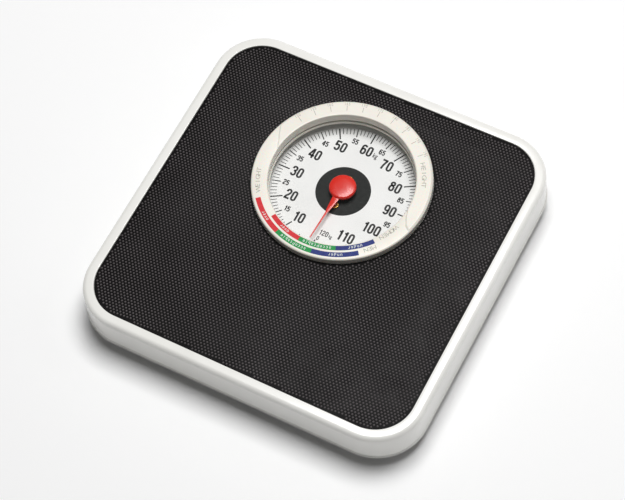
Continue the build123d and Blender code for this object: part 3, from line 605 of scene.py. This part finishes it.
def collar_section():
    """Flange on the cover, tube through its hole and the window's seat."""
    seat = lens_low.z - PRINT
    edge = 0.35 * MM
    flange = collar_high.z
    points = [(LIP_R, seat - edge), *arc(LIP_R + edge, seat - edge, edge, 180, 90, 3), (COLLAR_BORE, seat)]
    points += [(COLLAR_BORE, flange - edge), (COLLAR_BORE + edge, flange), (RING_R - edge, flange)]
    points += [(RING_R, flange - edge), (RING_R, RECESS_Z), (COLLAR_OUTER, RECESS_Z)]
    return points + [(COLLAR_OUTER, collar_low.z), (LIP_R, collar_low.z)]


collar = lathe("collar_moulding", collar_section(), IVORY, steps=160)
settle(collar, "platform", "ivory_abs", "bezel_collar")


def disc_section(inner, outer, low, high, edge):
    """Section of a flat disc with a small chamfer round its rim."""
    return [(inner, low), (outer - edge, low), (outer, low + edge),
            (outer, high - edge), (outer - edge, high), (inner, high)]


lens_section = disc_section(0.0, lens_high.x, lens_low.z, lens_high.z, 0.3 * MM)
window = lathe("acrylic_window", lens_section, CLEAR, steps=128)
settle(window, "platform", "clear_lens", "dial_lens")


# %% [markdown]
# The ring turns by hand to the user's height. Its upper half is a raised scale that ends in two S-shaped
# steps, and the lower half carries the coloured bands. The body is a spun section with rounded edges. The
# raised half is a grid between the two S-curves, whose height falls off softly along its edges, as in the
# mould.

# %% Turning ring
RING_TOP = ring_high.z - 0.6 * MM
RING_RAISE = 0.6 * MM
LAND = 0.7 * MM
SEAM_BEND = 0.35
LEFT_SEAM = [(0.0, 178.5), (0.3, 171.4), (0.62, 166.5), (1.0, 161.0)]
RIGHT_SEAM = [(0.0, -1.7), (0.22, -9.0), (0.55, -14.4), (1.0, -16.6)]


def ring_section():
    """Closed section of the ring and the tube that hangs inside the collar."""
    face = RING_TOP
    under = face - 2.9 * MM
    tube = RING_INNER + 2.0 * MM
    inner = 0.8 * MM
    outer = 1.4 * MM
    points = [(RING_INNER, ring_low.z), *arc(RING_INNER + inner, face - inner, inner, 180, 90, 6)]
    points += arc(RING_R - outer, face - outer, outer, 90, 0, 8)
    return points + [(RING_R, under), (tube, under), (tube, ring_low.z)]


def seam_angle(seam, share):
    """Angle of a seam at a share of the ring's width, by a smooth curve through its points."""
    for (s0, a0), (s1, a1) in zip(seam, seam[1:]):
        if share <= s1 or s1 == 1.0:
            t = (share - s0) / (s1 - s0)
            return a0 + (a1 - a0) * (t + SEAM_BEND * t * (1 - t) * (1 - 2 * t))
    return seam[-1][1]


def soft_rise(distance, width):
    """Height share that eases from nothing at an edge to full height."""
    t = max(0.0, min(1.0, distance / width))
    return t * t * (3 - 2 * t)


def raised_scale():
    """Raised half of the ring as a closed shell."""
    rows, columns = 20, 150
    foot = RING_TOP - 0.5 * MM
    soft = 0.9 * MM
    inner_start = 0.35 * MM
    bed = 0.02 * MM
    first, last = RING_INNER + 0.05 * MM, RING_R - LAND
    grid = []
    for i in range(rows + 1):
        share = (1 - cos(pi * i / rows)) / 2
        radius = first + (last - first) * share
        start, end = seam_angle(RIGHT_SEAM, share), seam_angle(LEFT_SEAM, share)
        for j in range(columns + 1):
            along = (1 - cos(pi * j / columns)) / 2
            turn = radians(start + (end - start) * along)
            from_end = min(along, 1 - along) * radians(end - start) * radius
            from_side = min(radius - first + inner_start, last - radius)
            rise = soft_rise(from_side, soft) * soft_rise(from_end, 2 * soft)
            height = RING_TOP - bed + (RING_RAISE + bed) * rise
            grid.append((radius * cos(turn), DIAL_Y + radius * sin(turn), height))
    count = len(grid)
    low = [(x, y, foot) for x, y, z in grid]
    faces = []
    wide = columns + 1
    for i in range(rows):
        for j in range(columns):
            a, b = i * wide + j, (i + 1) * wide + j
            faces.append((a, a + 1, b + 1, b))
            faces.append((count + a, count + b, count + b + 1, count + a + 1))
    rim = list(range(wide)) + [i * wide + columns for i in range(1, rows + 1)]
    rim += [rows * wide + j for j in range(columns - 1, -1, -1)] + [i * wide for i in range(rows - 1, 0, -1)]
    for a, b in zip(rim, rim[1:] + rim[:1]):
        faces.append((a, count + a, count + b, b))
    return finish_mesh("ring_raised_scale", grid + low, faces, IVORY, 50.0)


ring = lathe("ring_moulding", ring_section(), IVORY, steps=192)
settle(ring, "bmi_ring", "ivory_abs", "bmi_ring")
scale_half = raised_scale()
settle(scale_half, "bmi_ring", "ivory_abs")


# %% [markdown]
# The pointer is a flat red blade under a domed cap. The cap covers the hub; the neck leaves it broad and
# narrows to a fine needle. The blade is an outline made into a plate, because only its plan has a shape. The
# dial under it is a lacquered disc with a black printed hub.

# %% Dial, hub print, pointer
dial_r = (dial_high.x - dial_low.x) / 2
BORE = 2.6 * MM
dial_section = disc_section(BORE, dial_r, dial_low.z, DIAL_TOP, 0.15 * MM)
dial = lathe("dial_disc", dial_section, LACQUER, steps=128)
settle(dial, "base", "dial_face", "dial_plate")
HUB_R = 20.4 * MM
hub_print = plate("hub_print", [circle(HUB_R, steps=96), circle(BORE, steps=48)],
                  (DIAL_TOP - PRINT, DIAL_TOP + PRINT), HUB_INK)
settle(hub_print, "base", "dial_face")

needle_low, needle_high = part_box("pointer_needle")
cap_low, cap_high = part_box("pointer_cap")
NEEDLE_END = needle_low.y
NEEDLE_REST = radians(3.0)
CAP_R = cap_high.x


def blade_loop():
    """Outline of the pointer: hub, tapering neck and needle towards the front."""
    hub = CAP_R - 2.2 * MM
    half_neck = 2.6 * MM
    turn = acos(half_neck / hub)
    steps = 40
    turns = [-turn + (pi + 2 * turn) * i / steps for i in range(steps + 1)]
    loop = [(hub * cos(t), DIAL_Y + hub * sin(t)) for t in turns]
    knee = DIAL_Y - 21.0 * MM
    tip = NEEDLE_END + 0.1 * MM
    left = [(-half_neck, DIAL_Y - 9.0 * MM), (-1.25 * MM, knee)]
    left += [(-0.62 * MM, knee - 2.5 * MM), (-0.28 * MM, tip)]
    loop += left + [(-x, y) for x, y in reversed(left)]
    turned = [Vector((x, y - DIAL_Y, 0.0)) @ Matrix.Rotation(NEEDLE_REST, 3, "Z") for x, y in loop]
    return [(point.x, point.y + DIAL_Y) for point in turned]


blade = plate("pointer_blade", [blade_loop()], (needle_low.z, needle_high.z), POINTER_RED, 0.12 * MM)
settle(blade, "pointer", "pointer_red", "pointer_needle")


def cap_section():
    """Shallow domed cap with a rounded shoulder and an open underside."""
    wall = 1.2 * MM
    crown = cap_high.z
    shoulder = 1.5 * MM
    points = [(CAP_R - wall, cap_low.z), (CAP_R - 0.3 * MM, cap_low.z), (CAP_R, cap_low.z + 0.3 * MM)]
    points += arc(CAP_R - shoulder, crown - shoulder - 0.35 * MM, shoulder, 0, 78, 7)
    points += [(CAP_R * 0.55, crown - 0.1 * MM), (CAP_R * 0.25, crown - 0.02 * MM), (0.0, crown)]
    points += [(0.0, crown - wall), (CAP_R - 2 * wall, crown - 1.6 * wall)]
    return points + [(CAP_R - wall, crown - 2 * wall)]


cap = lathe("pointer_hub_cap", cap_section(), POINTER_RED, steps=96, sharp=50.0)
settle(cap, "pointer", "pointer_red", "pointer_cap")


# %% [markdown]
# Dial marks repeat at even angles, so one small node tree draws them all: bars of one size on a circle, with
# inputs for the first angle, the step, the two radii and the width. The height scale on the ring uses it too.

# %% Marks on a circle
def mark_tree():
    """Flat bars round a centre, each pointing outwards."""
    names = ["Count", "First", "Step", "Inner", "Outer", "Width", "Thick", "Centre Y", "Floor"]
    tree, sizes = group_with("marks_on_a_circle", names)
    line = put(tree, "GeometryNodeMeshLine", {"Count": sizes["Count"], "Offset": (0.0, 0.0, 0.0)})
    index = put(tree, "GeometryNodeInputIndex").outputs["Index"]
    turn = math(tree, "ADD", sizes["First"], math(tree, "MULTIPLY", index, sizes["Step"]))
    middle = math(tree, "MULTIPLY", math(tree, "ADD", sizes["Inner"], sizes["Outer"]), 0.5)
    x = math(tree, "MULTIPLY", math(tree, "COSINE", turn), middle)
    y = math(tree, "ADD", math(tree, "MULTIPLY", math(tree, "SINE", turn), middle), sizes["Centre Y"])
    spot = put(tree, "ShaderNodeCombineXYZ", {"X": x, "Y": y, "Z": sizes["Floor"]})
    laid = put(tree, "GeometryNodeSetPosition", {
        "Geometry": line.outputs["Mesh"], "Position": spot.outputs["Vector"]})
    length = math(tree, "SUBTRACT", sizes["Outer"], sizes["Inner"])
    size = put(tree, "ShaderNodeCombineXYZ", {"X": length, "Y": sizes["Width"], "Z": sizes["Thick"]})
    bar = put(tree, "GeometryNodeMeshCube", {"Size": size.outputs["Vector"]})
    facing = put(tree, "ShaderNodeCombineXYZ", {"Z": turn})
    bars = put(tree, "GeometryNodeInstanceOnPoints", {
        "Points": laid.outputs["Geometry"], "Instance": bar.outputs["Mesh"],
        "Rotation": facing.outputs["Vector"]})
    close_group(tree, bars.outputs["Instances"], sizes["Finish"])
    return tree


MARKS = mark_tree()
print("mark tree with", len(MARKS.nodes), "nodes")


def marks(name, count, first, step, inner, outer, width, top, finish):
    """One run of marks; angles in degrees, sizes in millimetres, top in metres."""
    return run_group(name, MARKS, {
        "Count": float(count), "First": radians(first), "Step": radians(step), "Inner": inner * MM,
        "Outer": outer * MM, "Width": width * MM, "Thick": 2 * PRINT, "Centre Y": DIAL_Y, "Floor": top},
        finish)


def joined(name, parts):
    """Join several mesh objects into one."""
    vertices, faces = [], []
    finish = parts[0].data.materials[0]
    for item in parts:
        start = len(vertices)
        vertices += [tuple(v.co) for v in item.data.vertices]
        faces += [tuple(start + i for i in p.vertices) for p in item.data.polygons]
        bpy.data.objects.remove(item)
    mesh = bpy.data.meshes.new(name)
    mesh.from_pydata(vertices, [], faces)
    mesh.materials.append(finish)
    return new_object(name, mesh)


# %% [markdown]
# The scale has one mark for each kilogram, clockwise from the front, and the fives and tens are longer and
# broader. One run of the tree draws the same unit of every ten, so a short loop covers the whole dial.

# %% Weight marks
CAPACITY = 120
TENS = CAPACITY // 10
ZERO_ANGLE = 270.0
KILO = -360.0 / CAPACITY
TICK_OUT = 53.4
TICK_SIZES = {0: (44.3, 1.0), 5: (46.7, 0.78)}
PLAIN_TICK = (48.6, 0.52)
runs = []
for unit in (1, 2, 3, 4, 6, 7, 8, 9, 5, 0):
    inner, width = TICK_SIZES.get(unit, PLAIN_TICK)
    first = ZERO_ANGLE + unit * KILO
    run = marks(f"kilo_{unit}", TENS, first, 10 * KILO, inner, TICK_OUT, width, DIAL_TOP, BLACK_INK)
    runs.append(run)
index_angle = ZERO_ANGLE + 70 * KILO
runs.append(marks("height_index", 1, index_angle, 1.0, TICK_OUT, 56.2, 0.35, DIAL_TOP, BLACK_INK))
settle(joined("weight_marks", runs), "base", "dial_face")


# %% [markdown]
# The dial's figures are condensed and bold, as on most instruments, so they are drawn here rather than set:
# each is a few strokes of one width along lines and arcs, on a grid one unit high. A nine is a six turned
# round.

# %% Figures from strokes
TOP = arc(0.0, 0.76, 0.17, 180, 0)
BOWL = arc(0.0, 0.24, 0.17, 0, -180)
SIX = [arc(0.0, 0.76, 0.17, 15, 180) + arc(0.0, 0.24, 0.17, 180, 360) + arc(0.0, 0.42, 0.17, 0, 175)]
STROKES = {
    "0": [arc(0.0, 0.76, 0.17, 0, 180) + arc(0.0, 0.24, 0.17, 180, 360) + [(0.17, 0.76)]],
    "1": [[(0.06, 0.0), (0.06, 1.0)], [(-0.15, 0.79), (0.06, 0.8)]],
    "2": [[(-0.17, 0.68)] + TOP + [(0.15, 0.62), (0.04, 0.43), (-0.1, 0.26), (-0.16, 0.08)],
          [(-0.24, 0.07), (0.24, 0.07)]],
    "3": [[(-0.17, 0.7)] + TOP + [(0.17, 0.66), (0.12, 0.56), (-0.04, 0.53)],
          [(-0.04, 0.53), (0.12, 0.5), (0.17, 0.4)] + BOWL],
    "4": [[(0.1, 0.0), (0.1, 1.0)], [(-0.27, 0.28), (0.26, 0.28)], [(0.05, 0.97), (-0.2, 0.3)]],
    "5": [[(-0.2, 0.93), (0.22, 0.93)], [(-0.15, 0.99), (-0.165, 0.47)],
          arc(0.0, 0.43, 0.17, 155, 0) + BOWL],
    "6": SIX,
    "7": [[(-0.24, 0.93), (0.24, 0.93)], [(0.18, 0.95), (0.09, 0.7), (-0.01, 0.4), (-0.06, 0.0)]],
    "8": [arc(0.0, 0.755, 0.155, 0, 360, 16),
          arc(0.0, 0.4, 0.17, 0, 180) + arc(0.0, 0.24, 0.17, 180, 360) + [(0.17, 0.4)]],
    "9": [[(-x, 1.0 - y) for x, y in SIX[0]]],
}


def stroke(path, half):
    """Both edges of a stroke along a path, mitred at its points."""
    edges = []
    for i, (x, y) in enumerate(path):
        before, after = Vector(path[max(i - 1, 0)]), Vector(path[min(i + 1, len(path) - 1)])
        along = (after - before).normalized()
        edges.append(((x - along.y * half, y + along.x * half), (x + along.y * half, y - along.x * half)))
    return edges


def figure(text, height, spot, finish, top, half=0.078):
    """Number of drawn figures, centred on a spot; sizes in millimetres, half width in figure heights."""
    vertices, faces = [], []
    size = height * MM
    widths = [0.5 if letter == "1" else 0.58 for letter in text]
    at = -sum(widths) / 2
    for letter, wide in zip(text, widths):
        middle_x = spot[0] * MM + (at + wide / 2) * size
        foot_y = DIAL_Y + spot[1] * MM - size / 2
        for path in STROKES[letter]:
            start = len(vertices)
            for pair in stroke(path, half):
                for level in (top - PRINT, top + PRINT):
                    vertices += [(middle_x + x * size, foot_y + y * size, level) for x, y in pair]
            for i in range(len(path) - 1):
                a, b = start + 4 * i, start + 4 * i + 4
                faces += [(a + 2, a + 3, b + 3, b + 2), (a, b, b + 1, a + 1)]
                faces += [(a, a + 2, b + 2, b), (a + 1, b + 1, b + 3, a + 3)]
            faces += [(start, start + 1, start + 3, start + 2), (b, b + 2, b + 3, b + 1)]
        at += wide
    mesh = bpy.data.meshes.new("number_" + text)
    mesh.from_pydata(vertices, [], faces)
    mesh.materials.append(finish)
    return new_object("number_" + text, mesh)


# %% [markdown]
# Words use Blender's built-in face. Each text becomes a mesh, is measured for its centre, and is scaled to a
# height in millimetres from a capital height of 0.72 font units.

# %% Lettering
def lettering(text, height, spot, finish, top, turn=0.0, squeeze=0.72, weight=0.0):
    """Text of one height, centred on a spot; sizes in millimetres, turn in degrees."""
    capital = 0.72
    tall = 0.6
    curve = bpy.data.curves.new(text, "FONT")
    curve.body = text
    curve.offset = weight
    curve.extrude = 0.01
    curve.resolution_u = 3
    source = new_object("text_" + text, curve)
    bpy.context.view_layer.update()
    mesh = bpy.data.meshes.new_from_object(source)
    bpy.data.objects.remove(source)
    xs = [v.co.x for v in mesh.vertices]
    ys = [v.co.y for v in mesh.vertices]
    scale = height * MM / capital
    centre_x = (min(xs) + max(xs)) / 2
    centre_y = capital / 2 if max(ys) > tall else (min(ys) + max(ys)) / 2
    cosine, sine = cos(radians(turn)), sin(radians(turn))
    at_x, at_y = spot[0] * MM, spot[1] * MM + DIAL_Y
    for v in mesh.vertices:
        x = (v.co.x - centre_x) * scale * squeeze
        y = (v.co.y - centre_y) * scale
        z = top + (PRINT if v.co.z > 0 else -PRINT)
        v.co = (at_x + x * cosine - y * sine, at_y + x * sine + y * cosine, z)
    mesh.materials.clear()
    mesh.materials.append(finish)
    return new_object("figure_" + text, mesh)


def polar(radius, angle):
    """Spot at a radius in millimetres and an angle in degrees."""
    return radius * cos(radians(angle)), radius * sin(radians(angle))


# %% [markdown]
# All figures stand upright. The tens are large and sit nearer the hub; the fives are half their size and sit
# close to the marks. The capacity, the zero and the unit are small and in a thinner stroke.

# %% Weight figures
SMALL = 4.3
UNIT_WEIGHT = 0.012
figures = []
for kilo in range(10, CAPACITY, 10):
    spot = polar(38.0, ZERO_ANGLE + kilo * KILO)
    figures.append(figure(str(kilo), 8.4, spot, BLACK_INK, DIAL_TOP, 0.09))
for kilo in range(15, 100, 10):
    spot = polar(42.8, ZERO_ANGLE + kilo * KILO)
    figures.append(figure(str(kilo), SMALL, spot, BLACK_INK, DIAL_TOP, 0.1))
figures.append(lettering("kg", 4.2, polar(37.6, 78.0), BLACK_INK, DIAL_TOP, weight=UNIT_WEIGHT))
figures.append(figure(str(CAPACITY), SMALL, (3.4, -37.0), BLACK_INK, DIAL_TOP))
figures.append(lettering("kg", 3.0, (9.0, -37.4), BLACK_INK, DIAL_TOP, weight=UNIT_WEIGHT))
figures.append(figure("0", 3.6, polar(42.4, 271.5), BLACK_INK, DIAL_TOP))
settle(joined("weight_figures", figures), "base", "dial_face")


# %% [markdown]
# The ring's print rides with the ring. Two coloured bands, one for men and one inside it for women, show
# over, acceptable and under weight. Each stretch of colour is a plate cut between two radii and two angles.

# %% Ring bands
BAND_RUNS = {
    "men": (60.0, 63.8, (-140.3, -111.2, -83.2, -51.6)),
    "women": (54.8, 58.4, (-123.0, -95.4, -67.1, -38.7)),
}


def band(name, inner, outer, start, end, finish):
    """Thin printed sector between two radii."""
    steps = max(4, int((end - start) / 1.5))
    turns = [start + (end - start) * i / steps for i in range(steps + 1)]
    loop = [polar(outer, t) for t in turns] + [polar(inner, t) for t in reversed(turns)]
    loop = [(x * MM, DIAL_Y + y * MM) for x, y in loop]
    return plate(name, [loop], (RING_TOP - PRINT, RING_TOP + PRINT), finish)


for who, (inner, outer, stops) in BAND_RUNS.items():
    for finish, start, end in zip(BAND_INKS, stops, stops[1:]):
        strip = band(f"band_{who}_{finish.name}", inner, outer, start, end, finish)
        settle(strip, "bmi_ring", "ivory_abs")


# %% [markdown]
# Words on the ring follow its curve, so each letter is its own small mesh, turned so that its top points
# outwards. The raised half has a mark and a figure for every five centimetres of height, in a pale grey ink.

# %% Ring lettering
LETTER_PITCH = 0.86


def around(text, height, radius, middle, finish, top, squeeze):
    """Letters set one by one clockwise round the ring, tops outwards."""
    step = -height * squeeze * LETTER_PITCH / radius * 180 / pi
    first = middle - step * (len(text) - 1) / 2
    letters = []
    for i, letter in enumerate(text):
        angle = first + i * step
        spot = polar(radius, angle)
        letters.append(lettering(letter, height, spot, finish, top, angle - 90, squeeze))
    return letters


BAND_PRINT = RING_TOP + 2 * PRINT
white = []
for radius, words in ((61.9, (("under", -67.0), ("acceptable", -97.2), ("over", -125.5))),
                      (56.6, (("under", -53.0), ("acceptable", -81.2), ("over", -109.0)))):
    for word, angle in words:
        white += around(word, 2.7, radius, angle, WHITE_INK, BAND_PRINT, 0.95)
settle(joined("band_lettering", white), "bmi_ring", "ivory_abs")

grey = around("WEIGHT", 3.4, 61.0, 205.5, GREY_INK, RING_TOP, 1.15)
grey += around("WOMEN", 3.2, 56.6, -26.5, GREY_INK, RING_TOP, 1.1)
grey += around("MEN", 3.2, 61.2, -43.5, GREY_INK, RING_TOP, 1.1)
settle(joined("ring_lettering", grey), "bmi_ring", "ivory_abs")

SCALE_TOP = RING_TOP + RING_RAISE
HEIGHT_FIRST = 148.1
HEIGHT_STEP = -11.55
HEIGHTS = 10
height_print = [
    marks("height_marks", HEIGHTS, HEIGHT_FIRST, HEIGHT_STEP, 57.4, 61.6, 0.4, SCALE_TOP, GREY_INK)]
for i in range(HEIGHTS):
    angle = HEIGHT_FIRST + i * HEIGHT_STEP
    height_print += around(str(150 + 5 * i), 2.5, 63.3, angle, GREY_INK, SCALE_TOP, 0.75)
height_print += around("HEIGHT", 3.4, 59.6, 28.0, GREY_INK, SCALE_TOP, 1.2)
settle(joined("height_print", height_print), "bmi_ring", "ivory_abs")


# %% [markdown]
# Underneath, the base is a second pressing with stiffening ribs, four rubber feet and the thumb wheel's edge
# showing behind it. It keeps the CAD node's holes and ribs, so only its finish changes. The feet get
# concentric grip rings, spun as one section.

# %% Feet
def foot_section(low, high, radius):
    """Foot pad with grip rings, a stem through the floor and a head above it."""
    pad = low + 3.0 * MM
    stem = 3.0 * MM
    points = [(0.0, low + 0.4 * MM), (1.6 * MM, low + 0.4 * MM)]
    for ring_r in (2.6, 5.0, 7.4):
        points += [(ring_r * MM, low), ((ring_r + 1.3) * MM, low), ((ring_r + 1.6) * MM, low + 0.4 * MM)]
    points += [(radius - 0.6 * MM, low + 0.05 * MM), (radius, low + 0.7 * MM), (radius - 0.2 * MM, pad)]
    points += [(stem, pad), (stem, pad + 1.0 * MM), (4.2 * MM, pad + 1.0 * MM)]
    return points + [(4.0 * MM, high), (0.0, high)]


for name in sorted(n for n in frame["nodes"] if n.startswith("foot_")):
    low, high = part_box(name)
    middle = (low + high) / 2
    section = foot_section(low.z, high.z, (high.x - low.x) / 2)
    foot = lathe(name + "_grip", section, RUBBER, middle.x, middle.y, 48)
    settle(foot, "base", "rubber_feet", name)


# %% [markdown]
# The stage is a plain white floor under soft light: one large panel overhead and a little behind, so that
# the front skirt falls into shade, a much weaker one from the right and behind, and an even, faint white
# surround.

# %% Floor and lights
def stage_floor():
    """Wide white floor at the feet."""
    mesh = bpy.data.meshes.new("studio_floor")
    reach = 6.0
    corners = [(-reach, -reach, 0), (reach, -reach, 0), (reach, reach, 0), (-reach, reach, 0)]
    mesh.from_pydata(corners, [], [(0, 1, 2, 3)])
    material, tree, shader = new_material("studio_paper", Roughness=0.9)
    shader.inputs["Base Color"].default_value = linear("FFFFFF")
    mesh.materials.append(material)
    new_object("studio_floor", mesh)


def panel(name, place, size, power):
    """Soft square white light that faces the scale."""
    lamp = bpy.data.lights.new(name, "AREA")
    lamp.shape = "SQUARE"
    lamp.size = size
    lamp.energy = power
    obj = bpy.data.objects.new(name, lamp)
    bpy.context.scene.collection.objects.link(obj)
    obj.location = place
    obj.rotation_euler = (-Vector(place)).to_track_quat("-Z", "Y").to_euler()
    print(name, size, "m wide,", power, "W")


stage_floor()
panel("overhead_panel", (0.05, 0.5, 2.2), 1.1, 47.0)
panel("right_panel", (1.3, 0.9, 1.3), 0.6, 1.2)
world = bpy.data.worlds.new("white_surround")
bpy.context.scene.world = world
world.use_nodes = True
surround = world.node_tree.nodes["Background"]
surround.inputs["Color"].default_value = linear("FFFFFF")
surround.inputs["Strength"].default_value = 0.1
bpy.context.scene.view_settings.view_transform = "Standard"


# %% [markdown]
# The camera stands to the right of the front edge and looks down at about sixty degrees, with a long lens and
# a slight roll. It is set by angles and a distance, so that its place can be read at a glance.

# %% Camera
TARGET = Vector((6.3 * MM, -16.7 * MM, MAT_TOP))
DISTANCE = 1.5327
AZIMUTH = 35.27
ELEVATION = 61.7
ROLL = -8.61
LENS = 123.9


def place_camera():
    """Camera from its azimuth, elevation, distance and roll."""
    data = bpy.data.cameras.new("camera")
    data.lens = LENS
    data.sensor_width = 36.0
    camera = bpy.data.objects.new("camera", data)
    bpy.context.scene.collection.objects.link(camera)
    flat = DISTANCE * cos(radians(ELEVATION))
    height = DISTANCE * sin(radians(ELEVATION))
    away = Vector((flat * sin(radians(AZIMUTH)), -flat * cos(radians(AZIMUTH)), height))
    look = (-away).to_track_quat("-Z", "Y").to_matrix().to_4x4()
    camera.matrix_world = Matrix.Translation(TARGET + away) @ look @ Matrix.Rotation(radians(ROLL), 4, "Z")
    bpy.context.scene.camera = camera
    print("camera", [round(v, 3) for v in TARGET + away])


place_camera()
